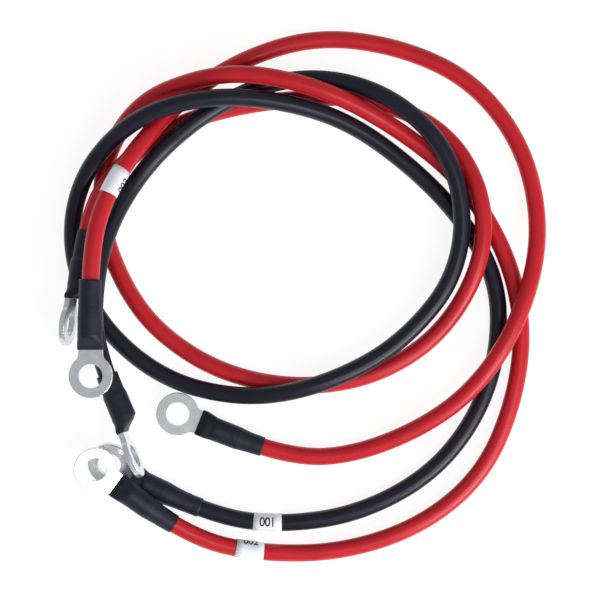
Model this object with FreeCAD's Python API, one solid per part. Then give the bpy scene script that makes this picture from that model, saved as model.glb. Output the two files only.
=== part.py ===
# A set of three battery leads lying in loose coils on a flat surface.
# Lead 1 is the short red one, lead 2 the long red one, lead 3 the long black one.
# Units are millimetres, +Z is up and Z = 0 is the surface the leads lie on.
import FreeCAD, Part
import math
import os

Vec = FreeCAD.Vector

# Cable: a 16 mm2 fine-stranded conductor in a thin jacket.
JACKET_R = 3.9
JACKET_BORE_R = 2.9
CONDUCTOR_R = 2.8

# Tubular ring lug. x runs from the centre of the stud hole towards the cable.
STUD_HOLE_R = 5.25
PALM_R = 9.6
PALM_THICK = 2.6
PALM_DROP = 3.3
NECK_X = 13.0
NECK_HALF = 5.4
NECK_FLARE_R = 4.0
BARREL_R = 4.8
BARREL_BORE_R = 2.82
BARREL_START_X = 17.5
BARREL_END_X = 27.8
BORE_START_X = 16.0
EDGE_ROUND = 0.35
CRIMP_XS = (20.4, 25.0)
CRIMP_TOOL_R = 2.2
CRIMP_DEPTH = 0.7

# The cable's jacket starts this far from the stud hole, at the barrel's mouth.
JACKET_START_X = 28.0

# Heat-shrink sleeve over the barrel and the first of the jacket. Each was slid on by hand, so the
# distances from the stud hole where they start and end, given with the leads below, differ a little.
SLEEVE_WALL = 0.65
SLEEVE_END_R = 4.4
COLLAR_LENGTH = 2.6
COLLAR_WALL = 0.4
COLLAR_ROUND = 0.9

# Wrap-round wire label.
LABEL_LENGTH = 12.7
LABEL_BORE_R = 4.0
LABEL_R = 4.15

# Share of the shorter run that each bend takes up.
BEND_SHARE = 0.45

# Corner points of each cable's route, from its first lug to its second.
ROUTE_1 = [
    (-30, -63.7, 5.7), (-5, -73.5, 4.5), (27, -71, 4), (63, -54, 8), (86, -30, 13), (101, 2, 13),
    (106, 34, 7), (98, 68, 4), (76, 96, 4), (44, 111, 4), (7, 116, 4), (-27, 106, 4),
    (-55, 87, 6.5), (-73, 65, 19), (-86, 44, 26), (-92.6, 19, 29), (-92.6, -7.5, 29),
]
ROUTE_2 = [
    (-69.1, -93.7, 14), (-49.3, -108.7, 8.5), (-17, -116, 4.3), (19, -115, 4), (54, -103, 4), (81, -80, 4),
    (95, -47, 4), (99, -13, 4), (91, 20, 4), (71, 52, 4), (43, 74, 7), (12, 90, 17),
    (-22, 98, 19), (-47, 96, 15), (-73, 86, 9), (-89, 62, 4), (-91, 33, 4), (-81, 5, 4),
    (-65, -17, 4), (-37, -35, 4), (-3, -42, 4), (32, -37, 4), (62, -18, 5), (80, 14, 13),
    (80, 46, 13), (63, 75, 4), (28, 89, 4), (0, 88, 4), (-28, 85, 4), (-59, 76, 4),
    (-82, 57, 10.6), (-95, 37, 13.8), (-97.6, 14.5, 14),
]
ROUTE_3 = [
    (-61.5, -88.5, 6.5), (-39, -99.3, 4.5), (-9, -103, 4.3), (25, -98, 4), (57, -81, 4), (78, -55, 4),
    (88, -24, 4), (87, 8, 4), (70, 36, 4), (47, 59, 4), (19, 78, 10), (-12, 86, 19),
    (-43, 87, 23), (-72, 79, 21), (-94, 60, 12), (-104, 36, 4), (-102, 9, 4), (-88, -17, 4),
    (-62, -38, 4), (-30, -46, 8), (-1, -43, 13), (29, -31, 11), (50, -15, 10), (67, 7, 11),
    (72, 35, 13), (64, 64, 17), (42, 86, 16), (14, 97, 10), (-16, 95, 8), (-43, 81, 15),
    (-68, 60, 11), (-85, 33, 15.5), (-91.3, 7, 21), (-92.6, -22, 14.5), (-83, -44.5, 16),
]

# name: (route, roll of the lug at each end in degrees, start and end of each sleeve,
# label's distance from the first end)
LEADS = {
    "lead_1": (ROUTE_1, (4, 0), ((10.2, 40.7), (11.5, 42)), 458),
    "lead_2": (ROUTE_2, (-4, 80), ((11.5, 42.5), (11.5, 42)), 51),
    "lead_3": (ROUTE_3, (16, 85), ((11.5, 45), (11.5, 38)), 48),
}


def route_edges(points):
    """Straight runs joined by tangent arcs; returns the edges and the smallest bend radius."""
    corners = [Vec(*p) for p in points]
    edges = []
    smallest = 1e9
    here = corners[0]
    for before, corner, after in zip(corners, corners[1:], corners[2:]):
        run_in = corner - before
        run_out = after - corner
        cut = BEND_SHARE * min(run_in.Length, run_out.Length)
        turn = run_in.getAngle(run_out)
        radius = cut / math.tan(turn / 2)
        smallest = min(smallest, radius)
        dir_in = Vec(run_in).normalize()
        dir_out = Vec(run_out).normalize()
        start = corner - dir_in * cut
        end = corner + dir_out * cut
        inward = (dir_out - dir_in).normalize()
        middle = corner + inward * (math.hypot(radius, cut) - radius)
        edges.append(Part.LineSegment(here, start).toShape())
        edges.append(Part.Arc(start, middle, end).toShape())
        here = end
    edges.append(Part.LineSegment(here, corners[-1]).toShape())
    return edges, smallest


def tube(path, outer_r, bore_r):
    """A round section, hollow where bore_r is given, swept along a wire."""
    start = path.Edges[0].valueAt(path.Edges[0].FirstParameter)
    heading = path.Edges[0].tangentAt(path.Edges[0].FirstParameter)
    face = Part.Face(Part.Wire(Part.makeCircle(outer_r, start, heading)))
    if bore_r:
        face = face.cut(Part.Face(Part.Wire(Part.makeCircle(bore_r, start, heading)))).Faces[0]
    return path.makePipe(face)


def ellipse_wire(x, half_width, half_height, z):
    """An ellipse across the lug's length, its wide axis along y."""
    if abs(half_width - half_height) < 1e-6:
        side = Vec(x, half_width, z)
        top = Vec(x, 0, z + half_width)
        return Part.Wire(Part.Circle(side, top, Vec(x, -half_width, z)).toShape())
    wide = Vec(x, half_width, z)
    tall = Vec(x, 0, z + half_height)
    return Part.Wire(Part.Ellipse(wide, tall, Vec(x, 0, z)).toShape())


def palm_outline():
    """Outline of the flat ring end, which flares out of its neck, at z = 0."""
    flare_y = NECK_HALF + NECK_FLARE_R
    flare_x = math.sqrt((PALM_R + NECK_FLARE_R) ** 2 - flare_y ** 2)
    share = PALM_R / (PALM_R + NECK_FLARE_R)
    halfway = (math.atan2(-flare_y, -flare_x) - math.pi / 2) / 2
    mid_x = flare_x + NECK_FLARE_R * math.cos(halfway)
    mid_y = flare_y + NECK_FLARE_R * math.sin(halfway)
    edges = [Part.Arc(Vec(flare_x * share, flare_y * share, 0), Vec(-PALM_R, 0, 0),
                      Vec(flare_x * share, -flare_y * share, 0)).toShape()]
    for side in (-1, 1):
        ring_end = Vec(flare_x * share, side * flare_y * share, 0)
        middle = Vec(mid_x, side * mid_y, 0)
        neck_end = Vec(flare_x, side * NECK_HALF, 0)
        edges.append(Part.Arc(ring_end, middle, neck_end).toShape())
        edges.append(Part.makeLine(neck_end, Vec(NECK_X, side * NECK_HALF, 0)))
    edges.append(Part.makeLine(Vec(NECK_X, -NECK_HALF, 0), Vec(NECK_X, NECK_HALF, 0)))
    return Part.Wire(Part.__sortEdges__(edges))


def shoulder(first_x, grow):
    """The lug's change from flat neck to round barrel, made bigger all round by grow."""
    flat = PALM_THICK / 2 - 0.02
    sizes = [
        (first_x, NECK_HALF - 0.5, flat, -PALM_DROP), (NECK_X, NECK_HALF - 0.3, flat + 0.5, 0.5 - PALM_DROP),
        (NECK_X + 2.2, BARREL_R + 0.4, BARREL_R - 1.2, -1.1), (BARREL_START_X, BARREL_R, BARREL_R, 0),
    ]
    return Part.makeLoft([ellipse_wire(x, wide + grow, tall + grow, z) for x, wide, tall, z in sizes], True)


def lug_outside():
    """The lug without its bores, in its own frame: hole at the origin, cable towards +x."""
    palm = Part.Face(palm_outline()).extrude(Vec(0, 0, PALM_THICK))
    palm.translate(Vec(0, 0, -PALM_DROP - PALM_THICK / 2))
    rim = [e for e in palm.Edges if abs(e.BoundBox.ZLength) < 1e-6 and e.BoundBox.XLength > 1e-6]
    palm = palm.makeFillet(EDGE_ROUND, rim)
    length = BARREL_END_X - BARREL_START_X
    barrel = Part.makeCylinder(BARREL_R, length, Vec(BARREL_START_X, 0, 0), Vec(1, 0, 0))
    return palm.fuse(shoulder(NECK_X - 2.5, 0)).fuse(barrel)


def make_lug():
    lug = lug_outside()
    stud = Part.makeCylinder(STUD_HOLE_R, 4 * PALM_THICK, Vec(0, 0, -PALM_DROP - 2 * PALM_THICK))
    bore_length = BARREL_END_X - BORE_START_X + 1
    bore = Part.makeCylinder(BARREL_BORE_R, bore_length, Vec(BORE_START_X, 0, 0), Vec(1, 0, 0))
    lug = lug.cut(stud).cut(bore)
    for x in CRIMP_XS:
        centre = Vec(x, -2 * BARREL_R, BARREL_R - CRIMP_DEPTH + CRIMP_TOOL_R)
        lug = lug.cut(Part.makeCylinder(CRIMP_TOOL_R, 4 * BARREL_R, centre, Vec(0, 1, 0)))
    return lug


def make_sleeve(start_x, end_x):
    """Heat-shrink tube: flattened at the palm, round over the barrel, tapering onto the cable."""
    over_barrel = BARREL_R + SLEEVE_WALL
    flat_end = shoulder(start_x, SLEEVE_WALL)
    collar_wide = 2 * NECK_HALF + 2 * COLLAR_WALL
    collar_tall = PALM_THICK + 2 * COLLAR_WALL
    corner = Vec(start_x, -collar_wide / 2, -PALM_DROP - collar_tall / 2)
    collar = Part.makeBox(COLLAR_LENGTH, collar_wide, collar_tall, corner)
    long_edges = [e for e in collar.Edges if e.BoundBox.XLength > COLLAR_LENGTH / 2]
    flat_end = flat_end.fuse(collar.makeFillet(COLLAR_ROUND, long_edges))
    profile = [
        (BARREL_START_X, 0), (BARREL_START_X, over_barrel), (BARREL_END_X + 0.4, over_barrel),
        (BARREL_END_X + 3.0, SLEEVE_END_R + 0.25), (end_x, SLEEVE_END_R), (end_x, 0),
        (BARREL_START_X, 0),
    ]
    outline = Part.Face(Part.makePolygon([Vec(x, r, 0) for x, r in profile]))
    round_end = outline.revolve(Vec(0, 0, 0), Vec(1, 0, 0), 360)
    cable_length = end_x - BARREL_END_X + 1
    cable = Part.makeCylinder(JACKET_R + 0.08, cable_length, Vec(BARREL_END_X, 0, 0), Vec(1, 0, 0))
    bore = Part.makeCylinder(BARREL_BORE_R + 0.5, 15, Vec(BORE_START_X, 0, 0), Vec(1, 0, 0))
    sleeve = flat_end.fuse(round_end).cut(lug_outside()).cut(cable)
    return sleeve.cut(bore)


def place_at_end(shape, end, inner, roll):
    """Puts a lug-frame shape on a cable's end, its axis along the last run, rolled about it."""
    toward_cable = (inner - end).normalize()
    side = Vec(0, 0, 1).cross(toward_cable).normalize()
    up = toward_cable.cross(side)
    turn = FreeCAD.Rotation(toward_cable, side, up, "XYZ")
    roll_turn = FreeCAD.Rotation(Vec(1, 0, 0), roll)
    centre = end - toward_cable * JACKET_START_X
    placed = shape.copy()
    placed.Placement = FreeCAD.Placement(centre, turn.multiply(roll_turn))
    return placed


def along(path, distance):
    """The point on a wire at a distance from its start."""
    for edge in path.Edges:
        if distance <= edge.Length:
            return edge.valueAt(edge.getParameterByLength(distance))
        distance -= edge.Length
    return path.Edges[-1].valueAt(path.Edges[-1].LastParameter)


def make_label(path, distance):
    half = LABEL_LENGTH / 2
    stops = [along(path, distance + step) for step in (-half, 0, half)]
    return tube(Part.Wire([Part.Arc(*stops).toShape()]), LABEL_R, LABEL_BORE_R)


def save(shape, name):
    if not shape.isValid() or len(shape.Solids) != 1:
        print("CHECK", name, "valid", shape.isValid(), "solids", len(shape.Solids))
    if shape.ShapeType != "Solid" and len(shape.Solids) == 1:
        shape = shape.Solids[0]
    shape.exportStep("parts/" + name + ".step")


os.makedirs("parts", exist_ok=True)
lug = make_lug()
for lead, (route, rolls, sleeve_spans, label_at) in LEADS.items():
    edges, smallest = route_edges(route)
    path = Part.Wire(edges)
    jacket = tube(path, JACKET_R, JACKET_BORE_R)
    ring_area = math.pi * (JACKET_R ** 2 - JACKET_BORE_R ** 2)
    print(lead, "length", round(path.Length, 1), "smallest bend", round(smallest, 1),
          "volume ratio", round(jacket.Volume / (ring_area * path.Length), 4))
    save(jacket, lead + "_jacket")

    points = [Vec(*p) for p in route]
    reach = JACKET_START_X - BORE_START_X - 0.2
    first = points[0] + (points[0] - points[1]).normalize() * reach
    last = points[-1] + (points[-1] - points[-2]).normalize() * reach
    lead_in = Part.makeLine(first, points[0])
    lead_out = Part.makeLine(points[-1], last)
    save(tube(Part.Wire([lead_in] + edges + [lead_out]), CONDUCTOR_R, 0), lead + "_conductor")

    ends = [("a", points[0], points[1]), ("b", points[-1], points[-2])]
    for (letter, end, inner), roll, span in zip(ends, rolls, sleeve_spans):
        placed = place_at_end(lug, end, inner, roll)
        save(placed, lead + "_lug_" + letter)
        hole = placed.Placement.multVec(Vec(0, 0, -PALM_DROP))
        axis = placed.Placement.Rotation.multVec(Vec(0, 0, 1))
        print(lead, letter, "stud hole", [round(v, 3) for v in hole], "axis", [round(v, 5) for v in axis])
        save(place_at_end(make_sleeve(*span), end, inner, roll), lead + "_sleeve_" + letter)
    save(make_label(path, label_at), lead + "_label")
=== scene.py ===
import math
import random
import bmesh
import bpy
from mathutils import Matrix, Vector


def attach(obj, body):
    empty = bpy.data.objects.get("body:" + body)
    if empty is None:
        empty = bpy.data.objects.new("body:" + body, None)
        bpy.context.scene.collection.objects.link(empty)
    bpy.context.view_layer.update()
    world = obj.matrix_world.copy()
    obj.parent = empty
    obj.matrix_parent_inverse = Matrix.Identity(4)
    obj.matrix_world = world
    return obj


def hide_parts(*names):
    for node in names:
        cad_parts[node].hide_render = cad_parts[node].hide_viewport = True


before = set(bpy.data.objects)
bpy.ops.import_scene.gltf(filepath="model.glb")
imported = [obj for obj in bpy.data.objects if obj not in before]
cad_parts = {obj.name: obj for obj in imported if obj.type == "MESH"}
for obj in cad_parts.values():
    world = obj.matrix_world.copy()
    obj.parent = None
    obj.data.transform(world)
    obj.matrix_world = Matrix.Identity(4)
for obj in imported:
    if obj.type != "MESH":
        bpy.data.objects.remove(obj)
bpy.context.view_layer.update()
print("frame loaded:", len(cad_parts), "nodes")

mm = 0.001
# jacketStart is the distance from a stud hole to the end of the jacket
cable = {"radius": 3.9 * mm, "jacketStart": 28.0 * mm}

# Each lead's route in metres, from lug a to lug b. Pairs are for lug a and lug b: the roll of the lug in
# degrees, the shape of its sleeve's tail, and the start and end of its sleeve in mm from the stud hole.
# labelAt is how far along the route the label's middle is, and textTurn turns its figures, in degrees.
leads = {
    "lead_1": {
        "colour": "red", "rolls": (4, 0), "tails": ("smooth", "wide"),
        "sleeves": ((10.2, 40.7), (11.5, 42)),
        "labelAt": 0.458, "labelText": "003", "textTurn": 84,
        "route": [
            (-0.030, -0.0637, 0.0057), (-0.005, -0.0735, 0.0045), (0.027, -0.071, 0.004),
            (0.063, -0.054, 0.008), (0.086, -0.030, 0.013), (0.101, 0.002, 0.013), (0.106, 0.034, 0.007),
            (0.098, 0.068, 0.004), (0.076, 0.096, 0.004), (0.044, 0.111, 0.004), (0.007, 0.116, 0.004),
            (-0.027, 0.106, 0.004), (-0.055, 0.087, 0.0065), (-0.073, 0.065, 0.019), (-0.086, 0.044, 0.026),
            (-0.0926, 0.019, 0.029), (-0.0926, -0.0075, 0.029),
        ],
    },
    "lead_2": {
        "colour": "red", "rolls": (-4, 80), "tails": ("smooth", "step"),
        "sleeves": ((11.5, 42.5), (11.5, 42)),
        "labelAt": 0.051, "labelText": "002", "textTurn": 70,
        "route": [
            (-0.0691, -0.0937, 0.014), (-0.0493, -0.1087, 0.0085), (-0.017, -0.116, 0.0043),
            (0.019, -0.115, 0.004), (0.054, -0.103, 0.004), (0.081, -0.080, 0.004), (0.095, -0.047, 0.004),
            (0.099, -0.013, 0.004), (0.091, 0.020, 0.004), (0.071, 0.052, 0.004), (0.043, 0.074, 0.007),
            (0.012, 0.090, 0.017), (-0.022, 0.098, 0.019), (-0.047, 0.096, 0.015), (-0.073, 0.086, 0.009),
            (-0.089, 0.062, 0.004), (-0.091, 0.033, 0.004), (-0.081, 0.005, 0.004), (-0.065, -0.017, 0.004),
            (-0.037, -0.035, 0.004), (-0.003, -0.042, 0.004), (0.032, -0.037, 0.004),
            (0.062, -0.018, 0.005), (0.080, 0.014, 0.013), (0.080, 0.046, 0.013), (0.063, 0.075, 0.004),
            (0.028, 0.089, 0.004), (0.000, 0.088, 0.004), (-0.028, 0.085, 0.004), (-0.059, 0.076, 0.004),
            (-0.082, 0.057, 0.0106), (-0.095, 0.037, 0.0138), (-0.0976, 0.0145, 0.014),
        ],
    },
    "lead_3": {
        "colour": "black", "rolls": (16, 85), "tails": ("smooth", "bulky"),
        "sleeves": ((11.5, 45), (11.5, 38)),
        "labelAt": 0.048, "labelText": "001", "textTurn": 6,
        "route": [
            (-0.0615, -0.0885, 0.0065), (-0.039, -0.0993, 0.0045), (-0.009, -0.103, 0.0043),
            (0.025, -0.098, 0.004), (0.057, -0.081, 0.004), (0.078, -0.055, 0.004), (0.088, -0.024, 0.004),
            (0.087, 0.008, 0.004), (0.070, 0.036, 0.004), (0.047, 0.059, 0.004), (0.019, 0.078, 0.010),
            (-0.012, 0.086, 0.019), (-0.043, 0.087, 0.023), (-0.072, 0.079, 0.021), (-0.094, 0.060, 0.012),
            (-0.104, 0.036, 0.004), (-0.102, 0.009, 0.004), (-0.088, -0.017, 0.004),
            (-0.062, -0.038, 0.004), (-0.030, -0.046, 0.008), (-0.001, -0.043, 0.013),
            (0.029, -0.031, 0.011), (0.050, -0.015, 0.010), (0.067, 0.007, 0.011), (0.072, 0.035, 0.013),
            (0.064, 0.064, 0.017), (0.042, 0.086, 0.016), (0.014, 0.097, 0.010), (-0.016, 0.095, 0.008),
            (-0.043, 0.081, 0.015), (-0.068, 0.060, 0.011), (-0.085, 0.033, 0.0155),
            (-0.0913, 0.007, 0.021), (-0.0926, -0.022, 0.0145), (-0.083, -0.0445, 0.016),
        ],
    },
}


def newMaterial(name):
    material = bpy.data.materials.new(name)
    material.use_nodes = True
    nodes = material.node_tree.nodes
    return material, nodes, material.node_tree.links, nodes["Principled BSDF"]


def objectNoise(nodes, links, scale, detail=3, roughness=0.5):
    place = nodes.new("ShaderNodeTexCoord")
    pattern = nodes.new("ShaderNodeTexNoise")
    pattern.inputs["Scale"].default_value = scale
    pattern.inputs["Detail"].default_value = detail
    pattern.inputs["Roughness"].default_value = roughness
    links.new(place.outputs["Object"], pattern.inputs["Vector"])
    return pattern.outputs["Fac"]


def ramp(nodes, links, source, stops):
    band = nodes.new("ShaderNodeValToRGB")
    elements = band.color_ramp.elements
    while len(elements) < len(stops):
        elements.new(0.5)
    for element, (at, colour) in zip(elements, stops):
        element.position = at
        element.color = (*colour, 1)
    links.new(source, band.inputs["Fac"])
    return band.outputs["Color"]


def bumped(nodes, links, shader, source, strength, depth):
    bump = nodes.new("ShaderNodeBump")
    bump.inputs["Strength"].default_value = strength
    bump.inputs["Distance"].default_value = depth
    links.new(source, bump.inputs["Height"])
    links.new(bump.outputs["Normal"], shader.inputs["Normal"])


def roughFrom(nodes, links, shader, source, low, high):
    spread = nodes.new("ShaderNodeMapRange")
    spread.inputs["To Min"].default_value = low
    spread.inputs["To Max"].default_value = high
    links.new(source, spread.inputs["Value"])
    links.new(spread.outputs["Result"], shader.inputs["Roughness"])


def jacketMaterial(name, dark, light, low, high):
    material, nodes, links, shader = newMaterial(name)
    soft = objectNoise(nodes, links, 60, 2)
    links.new(ramp(nodes, links, soft, [(0.3, dark), (0.7, light)]), shader.inputs["Base Color"])
    shader.inputs["Specular IOR Level"].default_value = 0.33
    roughFrom(nodes, links, shader, objectNoise(nodes, links, 220, 3), low, high)
    bumped(nodes, links, shader, objectNoise(nodes, links, 900, 2), 0.12, 0.0002)
    return material


def sleeveMaterial():
    material, nodes, links, shader = newMaterial("heatShrink")
    soft = objectNoise(nodes, links, 160, 3)
    stops = [(0.3, (0.006, 0.006, 0.018)), (0.75, (0.013, 0.014, 0.034))]
    links.new(ramp(nodes, links, soft, stops), shader.inputs["Base Color"])
    shader.inputs["Specular IOR Level"].default_value = 0.35
    roughFrom(nodes, links, shader, soft, 0.42, 0.6)
    bumped(nodes, links, shader, objectNoise(nodes, links, 1400, 4, 0.6), 0.25, 0.0002)
    return material


def tinMaterial():
    material, nodes, links, shader = newMaterial("tinnedCopper")
    blotch = objectNoise(nodes, links, 260, 5, 0.65)
    stops = [(0.3, (0.68, 0.69, 0.73)), (0.55, (0.80, 0.81, 0.85)), (0.75, (0.90, 0.91, 0.94))]
    links.new(ramp(nodes, links, blotch, stops), shader.inputs["Base Color"])
    shader.inputs["Metallic"].default_value = 0.85
    roughFrom(nodes, links, shader, blotch, 0.34, 0.22)
    bumped(nodes, links, shader, objectNoise(nodes, links, 1800, 4, 0.7), 0.14, 0.0002)
    return material


def plainMaterial(name, colour, roughness, metallic=0):
    material, nodes, links, shader = newMaterial(name)
    shader.inputs["Base Color"].default_value = (*colour, 1)
    shader.inputs["Roughness"].default_value = roughness
    shader.inputs["Metallic"].default_value = metallic
    return material


finishes = {
    "red": jacketMaterial("redJacket", (0.50, 0.008, 0.016), (0.58, 0.012, 0.022), 0.30, 0.42),
    "black": jacketMaterial("blackJacket", (0.005, 0.005, 0.015), (0.009, 0.009, 0.023), 0.30, 0.42),
    "sleeve": sleeveMaterial(),
    "tin": tinMaterial(),
    "strand": plainMaterial("copperStrand", (0.72, 0.35, 0.2), 0.35, 1),
    "label": plainMaterial("labelFilm", (0.84, 0.88, 0.94), 0.45),
    "ink": plainMaterial("printInk", (0.03, 0.03, 0.04), 0.5),
}
print("materials made:", len(finishes))


def addPiece(name, mesh, material, nodes=(), smooth=True):
    piece = bpy.data.objects.new(name, mesh)
    bpy.context.scene.collection.objects.link(piece)
    if material:
        piece.data.materials.append(material)
    if smooth:
        piece.data.shade_smooth()
    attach(piece, "root")
    if nodes:
        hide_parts(*nodes)
    return piece


def routeCurve(name, points, bevel):
    curve = bpy.data.curves.new(name, "CURVE")
    curve.dimensions = "3D"
    curve.resolution_u = 12
    curve.bevel_depth = bevel
    curve.bevel_resolution = 6
    curve.use_fill_caps = bevel > 0
    spline = curve.splines.new("NURBS")
    spline.points.add(len(points) - 1)
    for point, place in zip(spline.points, points):
        point.co = (*place, 1)
    spline.order_u = 3
    spline.use_endpoint_u = True
    return curve


def curveLine(name, points):
    probe = bpy.data.objects.new(name, routeCurve(name, points, 0))
    bpy.context.scene.collection.objects.link(probe)
    mesh = bpy.data.meshes.new_from_object(probe)
    line = [v.co.copy() for v in mesh.vertices]
    bpy.data.objects.remove(probe)
    bpy.data.meshes.remove(mesh)
    return line


def lugFrame(route, roll):
    # x towards the cable, z out of the lug's upper face, origin on the barrel's axis at the stud hole
    end, inner = Vector(route[0]), Vector(route[1])
    xAxis = (inner - end).normalized()
    yAxis = Vector((0, 0, 1)).cross(xAxis).normalized()
    zAxis = xAxis.cross(yAxis)
    turn = Matrix((xAxis, yAxis, zAxis)).transposed().to_4x4() @ Matrix.Rotation(math.radians(roll), 4, "X")
    return Matrix.Translation(end - xAxis * cable["jacketStart"]) @ turn


def frameAlong(line, distance, up):
    # place and directions at a distance along a line of points
    for a, b in zip(line, line[1:]):
        step = (b - a).length
        if distance <= step:
            break
        distance -= step
    xAxis = (b - a).normalized()
    yAxis = up.cross(xAxis).normalized()
    zAxis = xAxis.cross(yAxis)
    place = a + xAxis * distance
    return Matrix.Translation(place) @ Matrix((xAxis, yAxis, zAxis)).transposed().to_4x4()


def ringLoop(bm, placement, wide, tall, square, count):
    # a ring across x, wide along y and tall along z; square is 1 for an ellipse and 0 for a rectangle
    made = bmesh.ops.create_circle(bm, cap_ends=False, segments=count, radius=1)
    for v in made["verts"]:
        y, z = v.co.x, v.co.y
        y, z = math.copysign(abs(y) ** square, y), math.copysign(abs(z) ** square, z)
        v.co = Vector((0, y * wide, z * tall))
    bmesh.ops.transform(bm, matrix=placement, verts=made["verts"])
    return [e for e in bm.edges if e.verts[0] in made["verts"] and e.verts[1] in made["verts"]]


def shell(name, loops):
    # bridges ring after ring, and the last back to the first
    bm = bmesh.new()
    rings = [ringLoop(bm, *loop) for loop in loops]
    for a, b in zip(rings, rings[1:] + rings[:1]):
        bmesh.ops.bridge_loops(bm, edges=a + b)
    bmesh.ops.recalc_face_normals(bm, faces=bm.faces)
    mesh = bpy.data.meshes.new(name)
    bm.to_mesh(mesh)
    bm.free()
    return mesh


# heat-shrink sleeves, in mm: over the barrel the bore's radius is never under lugRadius, and past
# barrelEnd it is never under cableRadius
sleeve = {
    "wall": 0.3, "lugRadius": 4.85, "barrelEnd": 28.3, "cableRadius": 3.95,
    "segments": 64, "wrinkle": 0.05, "step": 0.7, "lastStep": 0.3, "seeds": (11, 23),
    # half width, half height, height of the middle and squareness of the sleeve's mouth
    "mouth": (5.8, 1.85, -3.15, 0.25),
    # distance from the stud hole, then the same four measures, from the flat to the barrel
    "flat": [(12.0, 5.8, 2.1, -3.0, 0.26), (12.6, 5.8, 2.3, -2.85, 0.27), (13.0, 5.8, 2.5, -2.65, 0.28),
             (13.6, 5.75, 3.0, -2.2, 0.45), (14.5, 5.7, 3.6, -1.5, 0.65), (15.5, 5.62, 4.45, -0.8, 0.85),
             (16.5, 5.5, 5.0, -0.35, 1)],
    # distance from the stud hole and radius over the barrel and the cable
    "tails": {
        "smooth": [(17.5, 5.24), (24, 5.18), (28, 5.15), (31, 4.85), (35, 4.55), (41, 4.3)],
        "wide": [(17.5, 5.45), (26, 5.4), (28, 5.25), (31, 5.1), (36, 5.0), (42, 4.95)],
        "step": [(17.5, 5.45), (28, 5.35), (29, 5.0), (30, 4.6), (36, 4.45), (42, 4.3)],
        "bulky": [(17.5, 5.45), (28, 5.4), (29.5, 5.05), (31, 4.95), (38, 4.8)],
    },
}


def radiusAt(stops, x):
    for (x0, r0), (x1, r1) in zip(stops, stops[1:]):
        if x <= x1:
            return r0 + (r1 - r0) * (x - x0) / (x1 - x0)
    return stops[-1][1]


def sleevePiece(name, route, line, roll, tail, span, seed, hides):
    frameHere = lugFrame(route, roll)
    up = (frameHere.to_3x3() @ Vector((0, 0, 1))).normalized()
    random.seed(seed)
    stops = sleeve["tails"][tail]
    outer = [(span[0], *sleeve["mouth"])] + sleeve["flat"]
    x = stops[0][0]
    while x < span[1] - sleeve["lastStep"]:
        r = radiusAt(stops, x) + random.uniform(-1, 1) * sleeve["wrinkle"]
        outer.append((x, r, r, 0, 1))
        x += sleeve["step"]
    last = radiusAt(stops, span[1])
    outer.append((span[1], last, last, 0, 1))
    inner = []
    for x, wide, tall, z, square in reversed(outer):
        least = 0
        if x >= stops[0][0]:
            least = sleeve["lugRadius"] if x < sleeve["barrelEnd"] else sleeve["cableRadius"]
        inner.append((x, max(wide - sleeve["wall"], least), max(tall - sleeve["wall"], least), z, square))
    loops = []
    for x, wide, tall, z, square in outer + inner:
        if x * mm <= cable["jacketStart"]:
            place = frameHere @ Matrix.Translation((x * mm, 0, z * mm))
        else:
            place = frameAlong(line, x * mm - cable["jacketStart"], up) @ Matrix.Translation((0, 0, z * mm))
        loops.append((place, wide * mm, tall * mm, square, sleeve["segments"]))
    return addPiece(name, shell(name, loops), finishes["sleeve"], [hides])


# wrap-round wire labels, in mm: radii of the film and of the print, size and weight of the figures
label = {
    "length": 12.7, "inside": 4.0, "outside": 4.13, "segments": 64, "inkOut": 4.15,
    "textHeight": 4.2, "heightPerSize": 0.7, "textWide": 0.86, "textBold": 0.09, "textSpace": 0.92,
    "inkThick": 0.01, "stripWidth": 0.25, "strips": 12,
}


def labelPiece(name, line, at, hides):
    half = label["length"] / 2 * mm
    up = Vector((0, 0, 1))
    stations = [at + half * t for t in (-1, -0.5, 0, 0.5, 1)]
    places = [frameAlong(line, s, up) for s in stations]
    outside, inside = label["outside"] * mm, label["inside"] * mm
    loops = [(place, outside, outside, 1, label["segments"]) for place in places]
    loops += [(place, inside, inside, 1, label["segments"]) for place in reversed(places)]
    return addPiece(name, shell(name, loops), finishes["label"], [hides])


def labelPrint(name, line, at, text, turn, flip):
    # flat figures are cut into narrow strips and laid round the cable
    font = bpy.data.curves.new(name, "FONT")
    font.body = text
    font.size = label["textHeight"] / label["heightPerSize"] * mm
    font.align_x = "CENTER"
    font.align_y = "CENTER"
    font.space_character = label["textSpace"]
    font.extrude = label["inkThick"] * mm
    font.offset = label["textBold"] * mm
    flat = bpy.data.objects.new(name + "Flat", font)
    bpy.context.scene.collection.objects.link(flat)
    bm = bmesh.new()
    bm.from_mesh(bpy.data.meshes.new_from_object(flat))
    bpy.data.objects.remove(flat)
    for k in range(-label["strips"], label["strips"] + 1):
        cut = Vector((0, k * label["stripWidth"] * mm, 0))
        everything = bm.verts[:] + bm.edges[:] + bm.faces[:]
        bmesh.ops.bisect_plane(bm, geom=everything, plane_co=cut, plane_no=(0, 1, 0))
    radius = label["inkOut"] * mm
    for v in bm.verts:
        x, y = v.co.x * label["textWide"], v.co.y
        if flip:
            x, y = -x, -y
        angle = math.radians(turn) + y / radius
        place = frameAlong(line, at + x, Vector((0, 0, 1)))
        out = radius + v.co.z
        v.co = place @ Vector((0, out * math.sin(angle), out * math.cos(angle)))
    bmesh.ops.recalc_face_normals(bm, faces=bm.faces)
    mesh = bpy.data.meshes.new(name)
    bm.to_mesh(mesh)
    bm.free()
    return addPiece(name, mesh, finishes["ink"], smooth=False)


def refinish(node, material):
    node.data.materials.clear()
    node.data.materials.append(material)
    return node


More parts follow.
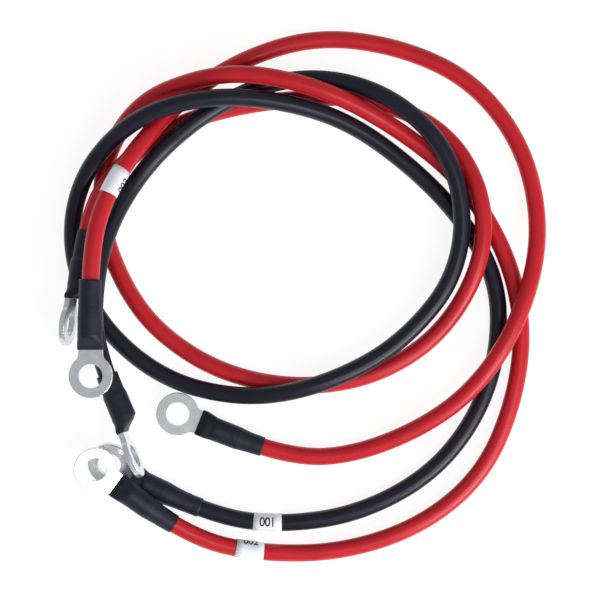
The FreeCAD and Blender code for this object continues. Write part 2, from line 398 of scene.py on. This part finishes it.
for lead, data in leads.items():
    route = [Vector(point) for point in data["route"]]
    line = curveLine(lead + "Line", route)
    finish = data["colour"]
    jacket = addPiece(lead + "_jacket_cord", routeCurve(lead + "Cord", route, cable["radius"]),
                      finishes[finish], [lead + "_jacket"], smooth=False)
    # each end is walked from its own stud hole: end a along the route, end b back along it
    for end, letter in enumerate("ab"):
        ownRoute, ownLine = (route, line) if end == 0 else (route[::-1], line[::-1])
        sleevePiece(lead + "_sleeve" + letter.upper(), ownRoute, ownLine, data["rolls"][end],
                                  data["tails"][end], data["sleeves"][end], sleeve["seeds"][end],
                                  lead + "_sleeve_" + letter)
    labelPiece(lead + "_labelWrap", line, data["labelAt"], lead + "_label")
    labelPrint(lead + "_print", line, data["labelAt"], data["labelText"], data["textTurn"],
                             lead == "lead_1")
    for letter in "ab":
        refinish(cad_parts[lead + "_lug_" + letter], finishes["tin"])
    refinish(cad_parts[lead + "_conductor"], finishes["strand"])


# floor, light and camera, in metres: the camera looks straight down on a strip of the given width
studio = {
    "floor": 4.0, "cameraHeight": 0.85, "width": 0.270, "middle": (-0.0013, -0.0023), "sensor": 36,
    "world": 0.42, "floorGrey": 0.18, "floorGlow": 0.88,
}
# name, place, edge length and power in watts
softBoxes = [
    ("keyLight", (0.72, -0.72, 0.6), 0.5, 9.5),
    ("topLight", (0.40, -0.36, 1.0), 0.26, 2.6),
]

bm = bmesh.new()
bmesh.ops.create_grid(bm, x_segments=1, y_segments=1, size=studio["floor"])
floorMesh = bpy.data.meshes.new("floor")
bm.to_mesh(floorMesh)
bm.free()
floor = bpy.data.objects.new("floor", floorMesh)
paleFloor = plainMaterial("paleFloor", [studio["floorGrey"]] * 3, 0.7)
floorShader = paleFloor.node_tree.nodes["Principled BSDF"]
floorShader.inputs["Emission Color"].default_value = (1, 1, 1, 1)
floorShader.inputs["Emission Strength"].default_value = studio["floorGlow"]
floor.data.materials.append(paleFloor)
bpy.context.scene.collection.objects.link(floor)

world = bpy.data.worlds.new("studio")
world.use_nodes = True
world.node_tree.nodes["Background"].inputs["Color"].default_value = (1, 1, 1, 1)
world.node_tree.nodes["Background"].inputs["Strength"].default_value = studio["world"]
bpy.context.scene.world = world

for name, place, size, power in softBoxes:
    lamp = bpy.data.lights.new(name, "AREA")
    lamp.shape = "SQUARE"
    lamp.size = size
    lamp.energy = power
    lampObject = bpy.data.objects.new(name, lamp)
    lampObject.location = place
    lampObject.rotation_mode = "QUATERNION"
    lampObject.rotation_quaternion = (-Vector(place)).to_track_quat("-Z", "Y")
    bpy.context.scene.collection.objects.link(lampObject)

cameraData = bpy.data.cameras.new("camera")
cameraData.sensor_width = studio["sensor"]
cameraData.lens = studio["sensor"] * studio["cameraHeight"] / studio["width"]
camera = bpy.data.objects.new("camera", cameraData)
camera.location = (*studio["middle"], studio["cameraHeight"])
bpy.context.scene.collection.objects.link(camera)
bpy.context.scene.camera = camera
bpy.context.scene.view_settings.view_transform = "Standard"
print("studio ready")
